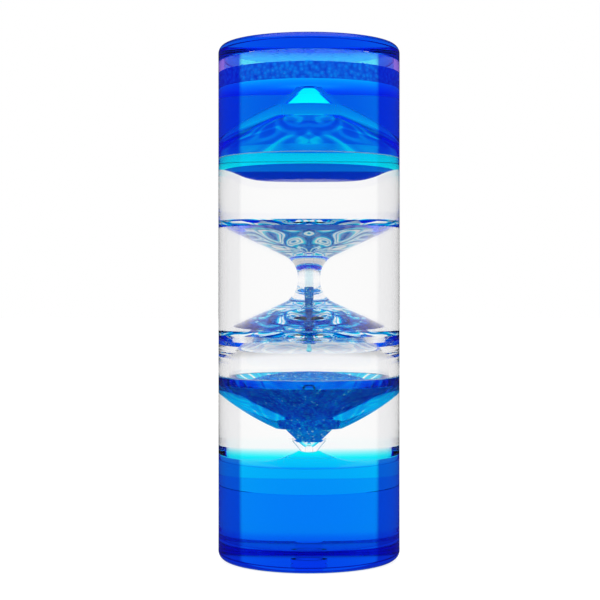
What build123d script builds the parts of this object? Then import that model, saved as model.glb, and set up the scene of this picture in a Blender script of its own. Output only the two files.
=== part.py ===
from build123d import *
import os
from math import asin, atan2, copysign, cos, degrees, radians, sin, sqrt, tan

# A liquid motion timer: a clear tube between a tinted cup and a tinted lid, with an
# hourglass bonded inside it. A nozzle dome closes each bulb of the hourglass.
# Millimetres, +Z up, origin at the middle of the underside.

# Outer body
outer_radius = 25.0
tube_wall = 1.5
bottom_cap_height = 20.6
bottom_floor = 5.8
top_cap_thickness = 4.65
rim_rounding = 2.3
inner_corner_rounding = 1.2
glue_line = 0.15

# Room between the nozzles' tips and the ends of the chamber
lower_tip_clearance = 23.95
upper_tip_clearance = 6.1

# Fill plug in the underside
plug_radius = 2.6
plug_head_radius = 3.4
plug_head_depth = 1.2
plug_chamfer = 0.25

# Hourglass funnels, heights measured from the neck plane
neck_radius = 3.1
neck_straight = 0.5
neck_fillet = 6.5
cone_angle = 24.7
neck_bore = 1.0
mouth_radius = 2.0
mouth_depth = 1.1
bulb_wall = 1.3
bulb_floor = 15.5
floor_dish = 3.0
bulb_shoulder = 17.0
shoulder_rise = 8.9
upper_skirt = 33.1
lower_skirt = 26.6

# Nozzle domes, heights measured from the seam with the skirt
dome_height = 13.9
dome_land_radius = 7.0
dome_wall = 3.5
dome_shoulder_radius = 16.0
dome_shoulder_height = 7.5
dome_hollow_radius = 13.5
dome_hollow_height = 6.3

# Nozzles, heights measured from the dome's land
nozzle_height = 6.5
nozzle_base_radius = 6.7
nozzle_ledge_height = 2.9
nozzle_ledge_radius = 4.35
nozzle_ledge_width = 0.55
nozzle_tip_radius = 1.5
nozzle_tip_rounding = 1.2
nozzle_wall = 1.0
nozzle_inner_radius = 5.1
nozzle_throat_radius = 1.25
nozzle_throat_height = 4.4
orifice_radius = 0.75

# Blue liquid round the upper dome, from the upper nozzle's tip down, and its froth
upper_surface_drop = 1.55
froth_depth = 4.6
froth_crown = 0.7

# Blue liquid in the cup, from the lower nozzle's tip down. Its surface climbs at the nozzle and the wall.
lower_surface_drop = 2.9
hump_rise = 3.3
hump_radius = 12.0
hump_edge = 2.2
meniscus_rise = 2.1
meniscus_width = 4.5

# Blue liquid under the upper dome, from the upper seam down: a flat pan drawn up to the wall
pool_depth = 6.55
pool_flat_radius = 8.0
pool_bend_radius = 14.0
pool_bend_rise = 2.0
pool_side_radius = 17.9
pool_side_drop = 2.25
pool_edge_drop = 0.9

# Glitter heap, its rim from the lower seam down and its tail from the lower nozzle's tip up
heap_rim_radius = 19.4
heap_rim_drop = 2.2
heap_rise = 3.5
heap_tail_lift = 2.95

# Thread of liquid in the bore, from the neck plane
thread_rise = 4.7
thread_depth = 2.5

# Drop on a thin strand under the lower mouth of the bore
outlet_drop_radius = 0.8
outlet_drop_reach = 4.2
outlet_strand_radius = 0.4

# Drops in the nozzles, above the upper land and above the lower tip
rising_drop_radius = 0.55
rising_drop_lift = 1.35
falling_drop_radius = 0.5
falling_drop_lift = 2.25

# Radii that follow from the sizes above
bore_radius = outer_radius - tube_wall
bulb_radius = bore_radius - bulb_wall
mouth_height = bulb_floor - floor_dish
floor_radius = bulb_radius - bulb_shoulder + sqrt(bulb_shoulder**2 - shoulder_rise**2)

# Heights of the pieces, stacked up from the underside
bottom_joint = bottom_cap_height + glue_line
lower_tip = bottom_floor + lower_tip_clearance
lower_land = lower_tip + nozzle_height
lower_seam = lower_land + dome_height
neck_height = lower_seam + glue_line + lower_skirt
upper_seam = neck_height + upper_skirt + glue_line
upper_land = upper_seam + dome_height
upper_tip = upper_land + nozzle_height
ceiling = upper_tip + upper_tip_clearance
top_joint = ceiling - glue_line
total_height = ceiling + top_cap_thickness

# Heights of the contents
upper_surface = upper_tip - upper_surface_drop
rising_drop_height = upper_land + rising_drop_lift
thread_top = neck_height + thread_rise
thread_bottom = neck_height - thread_depth
outlet = neck_height - mouth_height
heap_rim = lower_seam - heap_rim_drop
heap_peak = heap_rim + heap_rise
heap_bottom = lower_tip + heap_tail_lift
lower_surface = lower_tip - lower_surface_drop
falling_drop_height = lower_tip + falling_drop_lift
pool_bottom = upper_seam - pool_depth


def turned(*lines):
    """Solid of revolution of a closed outline drawn as radius and height."""
    outline = make_face([edge for line in lines for edge in line.edges()])
    return revolve(Plane.XZ * outline, Axis.Z)


def lathe_profile(*points):
    """Solid of revolution of a straight-sided outline."""
    return turned(Polyline(*points, close=True))


def ring(inner, outer, low, high):
    """Plain ring between two radii and two heights."""
    return lathe_profile((inner, low), (outer, low), (outer, high), (inner, high))


def disc(radius, low, high):
    """Plain disc on the axis between two heights."""
    return lathe_profile((0, low), (radius, low), (radius, high), (0, high))


def cap_arc(edge_radius, edge_height, middle_height):
    """Arc of a round cap whose centre is on the axis, from its edge to its middle."""
    rise = middle_height - edge_height
    radius = (edge_radius**2 + rise**2) / (2 * abs(rise))
    centre = middle_height - copysign(radius, rise)
    start = degrees(atan2(edge_height - centre, edge_radius))
    return CenterArc((0, centre), radius, start, copysign(90, rise) - start)


def climbing_arc(foot_radius, edge_radius, level, rise):
    """Arc that leaves a level surface without a break and climbs to an edge."""
    reach = edge_radius - foot_radius
    radius = (reach**2 + rise**2) / (2 * rise)
    sweep = copysign(degrees(asin(abs(reach) / radius)), reach)
    return CenterArc((foot_radius, level + radius), radius, -90, sweep)


def ball(radius, height):
    """Round drop on the axis."""
    return Pos(0, 0, height) * Sphere(radius)


def upward(part, height):
    """Place a part that is drawn upwards from a plane."""
    return Pos(0, 0, height) * part


def downward(part, height):
    """Place the same part upside down, under a plane."""
    return Pos(0, 0, height) * mirror(part, about=Plane.XY)


# Outer body

def outer_tube():
    return ring(bore_radius, outer_radius, bottom_joint, top_joint)


def plug_shape():
    """Headed plug, flush with the underside and with the chamber floor."""
    return lathe_profile(
        (0, 0),
        (plug_head_radius - plug_chamfer, 0),
        (plug_head_radius, plug_chamfer),
        (plug_head_radius, plug_head_depth),
        (plug_radius, plug_head_depth),
        (plug_radius, bottom_floor),
        (0, bottom_floor),
    )


def bottom_cap():
    """Deep cup with rounded rims, bored through for the fill plug."""
    cup = disc(outer_radius, 0, bottom_cap_height)
    cup = fillet(cup.edges().group_by(Axis.Z)[0], rim_rounding)
    return cup - cup_void(bottom_cap_height) - plug_shape()


def cup_void(top):
    """Space inside the cup and the tube, from the cup's floor to a height."""
    void = disc(bore_radius, bottom_floor, top)
    return fillet(void.edges().group_by(Axis.Z)[0], inner_corner_rounding)


def top_cap():
    lid = disc(outer_radius, ceiling, total_height)
    return fillet(lid.edges().group_by(Axis.Z)[-1], rim_rounding)


def bottom_glue_ring():
    return ring(bore_radius, outer_radius, bottom_cap_height, bottom_joint)


def top_glue_ring():
    return ring(bore_radius, outer_radius, top_joint, ceiling)


# Hourglass

def funnel(skirt):
    """Half of the hourglass: neck, thick cone, bulb floor and a skirt of the given length."""
    sweep = 90 - cone_angle
    centre = neck_radius + neck_fillet
    fillet_mid = sweep / 2
    arc_mid = (
        centre - neck_fillet * cos(radians(fillet_mid)),
        neck_straight + neck_fillet * sin(radians(fillet_mid)),
    )
    cone_start = (
        centre - neck_fillet * cos(radians(sweep)),
        neck_straight + neck_fillet * sin(radians(sweep)),
    )
    cone_rise = (bore_radius - cone_start[0]) * tan(radians(cone_angle))
    cone_end = (bore_radius, cone_start[1] + cone_rise)
    neck_side = (neck_radius, neck_straight)
    return turned(
        Polyline((neck_bore, 0), (neck_radius, 0), neck_side),
        ThreePointArc(neck_side, arc_mid, cone_start),
        Polyline(cone_start, cone_end, (bore_radius, skirt), (bulb_radius, skirt)),
        *bulb_outline(skirt),
        Line((neck_bore, mouth_height - mouth_depth), (neck_bore, 0)),
    )


def bulb_outline(skirt):
    """Inside of a bulb, from the skirt's end over its shoulder and dished floor to the bore."""
    wall_end = bulb_floor + shoulder_rise
    sweep = degrees(asin(shoulder_rise / bulb_shoulder))
    return (
        Line((bulb_radius, skirt), (bulb_radius, wall_end)),
        CenterArc((bulb_radius - bulb_shoulder, wall_end), bulb_shoulder, 0, -sweep),
        climbing_arc(mouth_radius, floor_radius, mouth_height, floor_dish),
        Line((mouth_radius, mouth_height), (neck_bore, mouth_height - mouth_depth)),
    )


def seam_ring():
    """Bond line between a skirt and its dome, drawn above the skirt's end."""
    return ring(bulb_radius, bore_radius, 0, glue_line)


# Nozzle dome, drawn upwards from its seam

def dome_outer_arc():
    return ThreePointArc(
        (bore_radius, 0),
        (dome_shoulder_radius, dome_shoulder_height),
        (dome_land_radius, dome_height),
    )


def dome_inner_arc():
    return ThreePointArc(
        (bulb_radius, 0),
        (dome_hollow_radius, dome_hollow_height),
        (spigot_radius(), dome_height - dome_wall),
    )


def spigot_radius():
    return nozzle_inner_radius + nozzle_wall


def dome():
    """Bowl-shaped wall with a flat land and a round hole for the nozzle's spigot."""
    hole = spigot_radius()
    return turned(
        dome_outer_arc(),
        Polyline((dome_land_radius, dome_height), (hole, dome_height), (hole, dome_height - dome_wall)),
        dome_inner_arc(),
        Line((bulb_radius, 0), (bore_radius, 0)),
    )


def dome_envelope():
    """Everything inside the dome's outer surface."""
    return turned(
        dome_outer_arc(),
        Polyline((dome_land_radius, dome_height), (0, dome_height), (0, 0), (bore_radius, 0)),
    )


def nozzle():
    """Hollow stepped cone on a spigot, drawn upwards from the dome's land."""
    spigot = disc(spigot_radius(), -dome_wall, 0)
    return nozzle_envelope() + spigot - nozzle_void()


def nozzle_envelope():
    """Everything inside the nozzle's outer surface: a cone, a small ledge and a round-nosed tip."""
    outside = lathe_profile(
        (0, 0),
        (nozzle_base_radius, 0),
        (nozzle_ledge_radius, nozzle_ledge_height),
        (nozzle_ledge_radius - nozzle_ledge_width, nozzle_ledge_height),
        (nozzle_tip_radius, nozzle_height),
        (0, nozzle_height),
    )
    return fillet(outside.edges().group_by(Axis.Z)[-1], nozzle_tip_rounding)


def nozzle_void():
    """Passage through the nozzle: spigot bore, inner cone and orifice."""
    return lathe_profile(
        (0, -dome_wall),
        (nozzle_inner_radius, -dome_wall),
        (nozzle_inner_radius, 0),
        (nozzle_throat_radius, nozzle_throat_height),
        (orifice_radius, nozzle_throat_height + nozzle_throat_radius - orifice_radius),
        (orifice_radius, nozzle_height),
        (0, nozzle_height),
    )


def dome_void():
    """Space under the dome, from the seam to the spigot's end."""
    return turned(
        dome_inner_arc(),
        Polyline(
            (spigot_radius(), dome_height - dome_wall),
            (0, dome_height - dome_wall),
            (0, 0),
            (bulb_radius, 0),
        ),
    )


def bulb_void(skirt):
    """Space inside a bulb's funnel, from the neck plane to the far side of the seam ring."""
    return turned(
        Line((bulb_radius, skirt + glue_line), (bulb_radius, skirt)),
        *bulb_outline(skirt),
        Polyline(
            (neck_bore, mouth_height - mouth_depth),
            (neck_bore, 0),
            (0, 0),
            (0, skirt + glue_line),
            (bulb_radius, skirt + glue_line),
        ),
    )


# Contents

def upper_inside():
    """Space of the upper bulb, from the neck plane to the nozzle's orifice."""
    return (
        upward(bulb_void(upper_skirt), neck_height)
        + upward(dome_void(), upper_seam)
        + upward(nozzle_void(), upper_land)
    )


def lower_inside():
    """Space of the lower bulb, from the neck plane down to the nozzle's orifice."""
    return (
        downward(bulb_void(lower_skirt), neck_height)
        + downward(dome_void(), lower_seam)
        + downward(nozzle_void(), lower_land)
    )


def pool_space():
    """Everything above the lower surface of the blue under the upper dome, up to the orifice."""
    bend = (pool_bend_radius, pool_bottom + pool_bend_rise)
    edge = (bulb_radius, upper_seam - pool_edge_drop)
    return turned(
        Line((0, pool_bottom), (pool_flat_radius, pool_bottom)),
        climbing_arc(pool_flat_radius, pool_bend_radius, pool_bottom, pool_bend_rise),
        ThreePointArc(bend, (pool_side_radius, upper_seam - pool_side_drop), edge),
        Polyline(edge, (bulb_radius, upper_tip), (0, upper_tip), (0, pool_bottom)),
    )


def upper_bulb_liquid():
    """Clear liquid from the top of the thread in the bore to the blue above it."""
    below_thread = disc(outer_radius, neck_height, thread_top)
    return upper_inside() - below_thread - pool_space()


def upper_dome_liquid():
    """Blue liquid that fills the upper dome and its nozzle and floats on the clear."""
    return (upper_inside() & pool_space()) - ball(rising_drop_radius, rising_drop_height)


def upper_blue_liquid():
    """Blue liquid round the upper dome, with its surface just under the nozzle's tip."""
    chamber = disc(bore_radius, upper_seam, upper_surface)
    return chamber - upward(dome_envelope(), upper_seam) - upward(nozzle_envelope(), upper_land)


def upper_froth():
    """Layer of froth on the blue liquid, a little thinner in the middle."""
    top = upper_surface + froth_depth
    crown = top - froth_crown
    layer = turned(
        Polyline((0, crown), (0, upper_surface), (bore_radius, upper_surface), (bore_radius, top)),
        cap_arc(bore_radius, top, crown),
    )
    return layer - upward(nozzle_envelope(), upper_land)


def lower_blue_liquid():
    """Blue liquid in the cup and the foot of the tube, drawn up at the nozzle's tip and at the wall."""
    corner = inner_corner_rounding
    corner_foot = bore_radius - corner
    hump_top = lower_surface + hump_rise
    meniscus_foot = bore_radius - meniscus_width
    body = turned(
        Polyline((hump_edge, hump_top), (0, hump_top), (0, bottom_floor), (corner_foot, bottom_floor)),
        CenterArc((corner_foot, bottom_floor + corner), corner, -90, 90),
        Line((bore_radius, bottom_floor + corner), (bore_radius, lower_surface + meniscus_rise)),
        climbing_arc(meniscus_foot, bore_radius, lower_surface, meniscus_rise),
        Line((meniscus_foot, lower_surface), (hump_radius, lower_surface)),
        climbing_arc(hump_radius, hump_edge, lower_surface, hump_rise),
    )
    return body - downward(nozzle_envelope(), lower_land)


def lower_clear_liquid():
    """Clear liquid round the lower dome and in the tip of its nozzle."""
    chamber = disc(bore_radius, lower_surface, lower_seam)
    outside = chamber - downward(dome_envelope(), lower_seam) - downward(nozzle_envelope(), lower_land)
    below_heap = disc(nozzle_inner_radius, lower_surface, heap_bottom)
    inside = downward(nozzle_void(), lower_land) & below_heap
    drop = ball(falling_drop_radius, falling_drop_height)
    return outside + inside - lower_blue_liquid() - drop


def glitter_heap():
    """Glitter lying in the lower dome and nozzle under a low rounded top."""
    edge = (heap_rim_radius, heap_rim)
    corner = (bore_radius, heap_bottom)
    under_top = turned(
        cap_arc(heap_rim_radius, heap_rim, heap_peak),
        Polyline(edge, (bore_radius, heap_rim), corner, (0, heap_bottom), (0, heap_peak)),
    )
    return lower_inside() & under_top


def neck_thread():
    """Thin column of tinted liquid in the bore."""
    return disc(neck_bore, thread_bottom, thread_top)


def neck_glitter():
    """Glitter packed in the lower half of the bore and in its mouth."""
    return lower_inside() & disc(mouth_radius, outlet, thread_bottom)


def outlet_drop():
    """Round drop on a strand that widens towards it."""
    tip = outlet - outlet_drop_reach
    middle = tip + outlet_drop_radius
    return turned(
        CenterArc((0, middle), outlet_drop_radius, 0, -90),
        Polyline((0, tip), (0, outlet), (outlet_strand_radius, outlet), (outlet_drop_radius, middle)),
    )


pieces = {
    "outer_tube": outer_tube(),
    "bottom_cap": bottom_cap(),
    "top_cap": top_cap(),
    "bottom_glue_ring": bottom_glue_ring(),
    "top_glue_ring": top_glue_ring(),
    "fill_plug": plug_shape(),
    "upper_funnel": upward(funnel(upper_skirt), neck_height),
    "lower_funnel": downward(funnel(lower_skirt), neck_height),
    "upper_seam_ring": upward(seam_ring(), neck_height + upper_skirt),
    "lower_seam_ring": downward(seam_ring(), neck_height - lower_skirt),
    "upper_dome": upward(dome(), upper_seam),
    "lower_dome": downward(dome(), lower_seam),
    "upper_nozzle": upward(nozzle(), upper_land),
    "lower_nozzle": downward(nozzle(), lower_land),
    "upper_bulb_liquid": upper_bulb_liquid(),
    "upper_dome_liquid": upper_dome_liquid(),
    "upper_blue_liquid": upper_blue_liquid(),
    "upper_froth": upper_froth(),
    "lower_blue_liquid": lower_blue_liquid(),
    "lower_clear_liquid": lower_clear_liquid(),
    "glitter_heap": glitter_heap(),
    "neck_thread": neck_thread(),
    "neck_glitter": neck_glitter(),
    "outlet_drop": outlet_drop(),
    "rising_drop": ball(rising_drop_radius, rising_drop_height),
    "falling_drop": ball(falling_drop_radius, falling_drop_height),
}

os.makedirs("parts", exist_ok=True)
for name, piece in pieces.items():
    export_step(piece, f"parts/{name}.step")
    print(f"{name}: {piece.volume:.1f} mm3")
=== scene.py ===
import math
import random

import bmesh
import bpy
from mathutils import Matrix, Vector


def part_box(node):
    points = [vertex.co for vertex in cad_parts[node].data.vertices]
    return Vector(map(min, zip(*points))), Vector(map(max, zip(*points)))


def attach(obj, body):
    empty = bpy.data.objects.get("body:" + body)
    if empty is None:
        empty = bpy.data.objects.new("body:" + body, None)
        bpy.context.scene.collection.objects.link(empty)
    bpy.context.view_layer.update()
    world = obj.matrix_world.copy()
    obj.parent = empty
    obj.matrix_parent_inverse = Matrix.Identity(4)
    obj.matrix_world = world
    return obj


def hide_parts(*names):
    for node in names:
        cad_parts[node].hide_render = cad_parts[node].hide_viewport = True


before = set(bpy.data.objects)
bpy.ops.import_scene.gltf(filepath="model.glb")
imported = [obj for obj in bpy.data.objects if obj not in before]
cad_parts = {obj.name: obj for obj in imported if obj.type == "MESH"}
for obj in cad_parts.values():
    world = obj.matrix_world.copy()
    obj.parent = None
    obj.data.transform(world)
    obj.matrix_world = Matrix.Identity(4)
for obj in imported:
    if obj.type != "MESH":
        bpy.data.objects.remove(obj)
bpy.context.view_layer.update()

# A liquid motion timer, in millimetres up to the point where a mesh is made. Each real surface is drawn
# once. The acrylic pieces bend the light, with materials for the stretches that touch air, those that
# touch liquid and those that are bonded. The liquids lie just inside them and carry the colour.

MM = 0.001
TURN = 2 * math.pi
SIDES = 256
ARC_STEPS = 20
SHARP_ANGLE = math.radians(35)


def corner_low(node):
    """Low corner of a node's box, in millimetres."""
    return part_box(node)[0] / MM


def corner_high(node):
    """High corner of a node's box, in millimetres."""
    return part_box(node)[1] / MM


# Radii and planes from the frame
OUTER = corner_high("outer_tube").x
BORE = corner_high("lower_blue_liquid").x
BULB = corner_high("upper_bulb_liquid").x
NOZZLE_BASE = corner_high("upper_nozzle").x
TOP = corner_high("top_cap").z
CEILING = corner_low("top_cap").z
TUBE_HEAD = corner_high("outer_tube").z
TUBE_FOOT = corner_low("outer_tube").z
CUP_RIM = corner_high("bottom_cap").z
CUP_FLOOR = corner_low("lower_blue_liquid").z
NECK = corner_low("upper_funnel").z
UPPER_SURFACE = corner_high("upper_blue_liquid").z
FROTH_TOP = corner_high("upper_froth").z
LOWER_SURFACE = corner_low("lower_clear_liquid").z
HEAP_PEAK = corner_high("glitter_heap").z
HEAP_TAIL = corner_low("glitter_heap").z
THREAD_TOP = corner_high("neck_thread").z
THREAD_FOOT = corner_low("neck_thread").z
PLUG_HEAD = corner_high("fill_plug").x
RISING_DROP = (corner_low("rising_drop").z + corner_high("rising_drop").z) / 2
FALLING_DROP = (corner_low("falling_drop").z + corner_high("falling_drop").z) / 2

# Shape of the mouldings
RIM_ROUNDING = 2.3
CUP_CORNER = 1.2
NECK_RADIUS = 3.1
NECK_STRAIGHT = 0.5
NECK_FILLET = 6.5
CONE_ANGLE = math.radians(24.7)
NECK_BORE = 1.0
MOUTH_RADIUS = 2.0
MOUTH_DEPTH = 1.1
BULB_SHOULDER = 17.0
BULB_SHOULDER_RISE = 8.9
BULB_FLOOR = 15.5
FLOOR_DISH = 3.0
MOUTH = BULB_FLOOR - FLOOR_DISH
DOME_LAND = 7.0
DOME_WALL = 3.5
DOME_SHOULDER = (16.0, 7.5)
DOME_HOLLOW = (13.5, 6.3)
NOZZLE_LEDGE = 2.9
NOZZLE_LEDGE_OUTER = 4.35
NOZZLE_LEDGE_INNER = 3.8
NOZZLE_TIP = 1.5
NOZZLE_TIP_ROUNDING = 1.2
NOZZLE_WALL = 1.0
NOZZLE_INNER = 5.1
SPIGOT_RADIUS = NOZZLE_INNER + NOZZLE_WALL
NOZZLE_THROAT = 1.25
NOZZLE_THROAT_HEIGHT = 4.4
ORIFICE = 0.75
PLUG_RADIUS = 2.6
PLUG_HEAD_DEPTH = 1.2
PLUG_CHAMFER = 0.25
HUMP_RISE = 3.3
HUMP_RADIUS = 12.0
HUMP_EDGE = 2.2
MENISCUS_RISE = 2.1
MENISCUS_WIDTH = 4.5
HEAP_RIM = 19.4
HEAP_RISE = 3.5
STRAND_RADIUS = 0.4
FROTH_CROWN = 0.7
POOL_BOTTOM = 103.6
POOL_FLAT = 8.0
POOL_BEND = 14.0
POOL_BEND_RISE = 2.0
POOL_EDGE_DROP = 0.9
POOL_TINTED = 16.5

# How far a liquid's skin lies inside the wall that holds it, and the gap between two bonded skins
SKIN = 0.03
HAIR = SKIN / 3


class Side:
    """One half of the hourglass: its planes, and which way it points from the neck."""

    def __init__(self, name, sign):
        end = corner_high if sign > 0 else corner_low
        start = corner_low if sign > 0 else corner_high
        self.name = name
        self.sign = sign
        self.skirt = abs(end(f"{name}_funnel").z - NECK)
        self.seam = start(f"{name}_dome").z
        self.land = end(f"{name}_dome").z
        self.tip = end(f"{name}_nozzle").z
        self.dome_height = abs(self.land - self.seam)
        self.nozzle_height = abs(self.tip - self.land)

    def place(self, points, plane):
        """Points drawn upwards from a plane of this half, as radius and height."""
        return [(r, plane + self.sign * h) for r, h in points]


UPPER = Side("upper", 1)
LOWER = Side("lower", -1)


# Outlines

def shares_of(sweep, steps=ARC_STEPS):
    """Angles from 0 to a sweep in equal steps."""
    return [sweep * i / steps for i in range(steps + 1)]


def arc(start, middle, end, steps=ARC_STEPS):
    """Points along the circle through three points."""
    (ax, ay), (bx, by), (cx, cy) = start, middle, end
    area = 2 * (ax * (by - cy) + bx * (cy - ay) + cx * (ay - by))
    a2, b2, c2 = ax * ax + ay * ay, bx * bx + by * by, cx * cx + cy * cy
    centre_x = (a2 * (by - cy) + b2 * (cy - ay) + c2 * (ay - by)) / area
    centre_y = (a2 * (cx - bx) + b2 * (ax - cx) + c2 * (bx - ax)) / area
    radius = math.hypot(ax - centre_x, ay - centre_y)
    first = math.atan2(ay - centre_y, ax - centre_x)
    half = (math.atan2(by - centre_y, bx - centre_x) - first) % TURN
    whole = (math.atan2(cy - centre_y, cx - centre_x) - first) % TURN
    if half > whole:
        whole -= TURN
    angles = [first + share for share in shares_of(whole, steps)]
    return [(centre_x + radius * math.cos(a), centre_y + radius * math.sin(a)) for a in angles]


def rounded(start, corner, end, radius, steps=ARC_STEPS):
    """Points along a fillet of a corner between two straight sides."""
    point = Vector(corner)
    one = (Vector(start) - point).normalized()
    two = (Vector(end) - point).normalized()
    half = one.angle(two) / 2
    reach = radius / math.tan(half)
    centre = point + (one + two).normalized() * (radius / math.sin(half))
    middle = centre + (point - centre).normalized() * radius
    return arc(tuple(point + one * reach), tuple(middle), tuple(point + two * reach), steps)


def climbing(foot, edge, level, rise):
    """Arc that leaves a level surface without a break and climbs to an edge."""
    reach = edge - foot
    radius = (reach * reach + rise * rise) / (2 * rise)
    sweep = math.asin(abs(reach) / radius)
    angles = shares_of(sweep)
    way = math.copysign(1, reach)
    return [(foot + way * radius * math.sin(a), level + radius * (1 - math.cos(a))) for a in angles]


def crown(edge, level, rise):
    """Arc of a round cap from its middle on the axis to its edge."""
    radius = (edge * edge + rise * rise) / (2 * abs(rise))
    centre = level + rise - math.copysign(radius, rise)
    sweep = math.asin(edge / radius)
    angles = shares_of(sweep)
    return [(radius * math.sin(a), centre + math.copysign(radius * math.cos(a), rise)) for a in angles]


# Meshes

def add_piece(name, mesh, slot, *nodes):
    """A mesh as a piece of the object that rides on its one body and stands for the named nodes."""
    piece = bpy.data.objects.new(name, mesh)
    bpy.context.scene.collection.objects.link(piece)
    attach(piece, "root")
    if nodes:
        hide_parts(*nodes)
    return piece


def smooth(mesh):
    """Smooth shading that breaks at sharp edges."""
    for face in mesh.polygons:
        face.use_smooth = True
    mesh.set_sharp_from_angle(angle=SHARP_ANGLE)


def lathe(name, slot, nodes, *stretches):
    """Closed body of revolution. A stretch is a skin and the points from its start to the next one."""
    outline = []
    materials = []
    for skin, points in stretches:
        material, contact = skin if isinstance(skin, tuple) else (skin, 0)
        if material not in materials:
            materials.append(material)
        outline += [(r, z, materials.index(material), contact) for r, z in points]
    build = bmesh.new()
    touches = build.faces.layers.float.new("contact")
    rings = []
    for r, z, _, _ in outline:
        count = SIDES if r > 0 else 1
        angles = [TURN * k / SIDES for k in range(count)]
        rings.append([build.verts.new((r * MM * math.cos(a), r * MM * math.sin(a), z * MM)) for a in angles])
    for here, (_, _, index, contact) in enumerate(outline):
        lower, upper = rings[here], rings[(here + 1) % len(rings)]
        if len(lower) == len(upper) == 1:
            continue
        for k in range(SIDES):
            corners = [lower[k % len(lower)], lower[(k + 1) % len(lower)]]
            corners += [upper[(k + 1) % len(upper)], upper[k % len(upper)]]
            face = build.faces.new(list(dict.fromkeys(corners)))
            face.material_index = index
            face[touches] = contact
    bmesh.ops.recalc_face_normals(build, faces=build.faces)
    mesh = bpy.data.meshes.new(name)
    build.to_mesh(mesh)
    build.free()
    for material in materials:
        mesh.materials.append(material)
    smooth(mesh)
    return add_piece(name, mesh, slot, *nodes)


# Materials
# A skin is a material and what its face touches: 0 for the first of the material's two indices, 1 for
# the second. Only a material with dye in it needs two, since light has to leave it as it came in.

ACRYLIC_IOR = 1.49
CLEAR_IOR = 1.34
BULB_IOR = 1.40
BLUE_IOR = 1.41
LOWER_BLUE_IOR = 1.46
SOFT_SURFACE_IOR = 1.008

# Index of a face that bends nothing, because it is bonded or because the wall beside it does the bending
MATCHED_IOR = 1.0


def glass_shader(tree, ior, tint=(1, 1, 1)):
    """Polished glass that bends light by an index."""
    shader = tree.nodes.new("ShaderNodeBsdfPrincipled")
    shader.inputs["Base Color"].default_value = (*tint, 1)
    shader.inputs["Roughness"].default_value = 0
    shader.inputs["IOR"].default_value = ior
    shader.inputs["Transmission Weight"].default_value = 1
    return shader


def ramp(tree, value, start, end, low, high):
    """Value that goes from one level to another between two inputs."""
    node = tree.nodes.new("ShaderNodeMapRange")
    node.interpolation_type = "SMOOTHSTEP"
    node.inputs["From Min"].default_value = start
    node.inputs["From Max"].default_value = end
    node.inputs["To Min"].default_value = low
    node.inputs["To Max"].default_value = high
    tree.links.new(value, node.inputs["Value"])
    return node.outputs["Result"]


def give(tree, sockets, values):
    """Sets each socket to a number, or links it to a value in the tree."""
    for socket, value in zip(sockets, values):
        if isinstance(value, (int, float)):
            socket.default_value = value
        else:
            tree.links.new(value, socket)


def arithmetic(tree, operation, first, second=0):
    """One sum on numbers or values in the tree."""
    node = tree.nodes.new("ShaderNodeMath")
    node.operation = operation
    give(tree, node.inputs, (first, second))
    return node.outputs[0]


def pick(tree, choice, otherwise, chosen):
    """One value where the choice is 1, the other where it is 0."""
    node = tree.nodes.new("ShaderNodeMix")
    give(tree, node.inputs[:1] + node.inputs[2:4], (choice, otherwise, chosen))
    return node.outputs[0]


def parts_of(tree, kind, output):
    """X, Y and Z of a vector that a node gives out."""
    source = tree.nodes.new(kind)
    parts = tree.nodes.new("ShaderNodeSeparateXYZ")
    tree.links.new(source.outputs[output], parts.inputs[0])
    return parts.outputs


def blend(tree, share, first, second):
    """Mix of two shaders; the share of the second is a number or a value in the tree."""
    mix = tree.nodes.new("ShaderNodeMixShader")
    give(tree, mix.inputs, (share, first.outputs[0], second.outputs[0]))
    return mix.outputs[0]


def colour_ramp(tree, value, stops):
    """Colour at a value, from stops that are a position and a colour each."""
    node = tree.nodes.new("ShaderNodeValToRGB")
    elements = node.color_ramp.elements
    for element, (position, colour) in zip(elements, (stops[0], stops[-1])):
        element.position, element.color = position, (*colour, 1)
    for position, colour in stops[1:-1]:
        elements.new(position).color = (*colour, 1)
    tree.links.new(value, node.inputs["Fac"])
    return node.outputs["Color"]


def empty_material(name):
    """Material with its tree and its output, and nothing that feeds it."""
    material = bpy.data.materials.new(name)
    material.use_nodes = True
    tree = material.node_tree
    tree.nodes.clear()
    return material, tree, tree.nodes.new("ShaderNodeOutputMaterial")


def paint_limb_shade(tree, shader, tint):
    """Tint of an upright round wall where it turns away: painted shade that darkens the liquid seen at its
    sides.
    """
    weight = tree.nodes.new("ShaderNodeLayerWeight")
    facing = ramp(tree, weight.outputs["Facing"], LIMB_START, LIMB_END, 0, 1)
    normal = parts_of(tree, "ShaderNodeNewGeometry", "Normal")
    tilt = arithmetic(tree, "ABSOLUTE", normal["Z"])
    upright = ramp(tree, tilt, *UPRIGHT_TILTS, 1, 0)
    limb_shade = arithmetic(tree, "MULTIPLY", facing, upright)
    shade = colour_ramp(tree, limb_shade, ((0.0, (1, 1, 1)), (1.0, tint)))
    tree.links.new(shade, shader.inputs["Base Color"])


def plain_glass(name, ior, limb_shade=None, tint=(1, 1, 1)):
    """Clear material without dye."""
    material, tree, output = empty_material(name)
    shader = glass_shader(tree, ior, tint)
    # Painted shade at the sides where the wall turns away
    if limb_shade:
        paint_limb_shade(tree, shader, limb_shade)
    tree.links.new(shader.outputs[0], output.inputs["Surface"])
    return material


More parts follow.
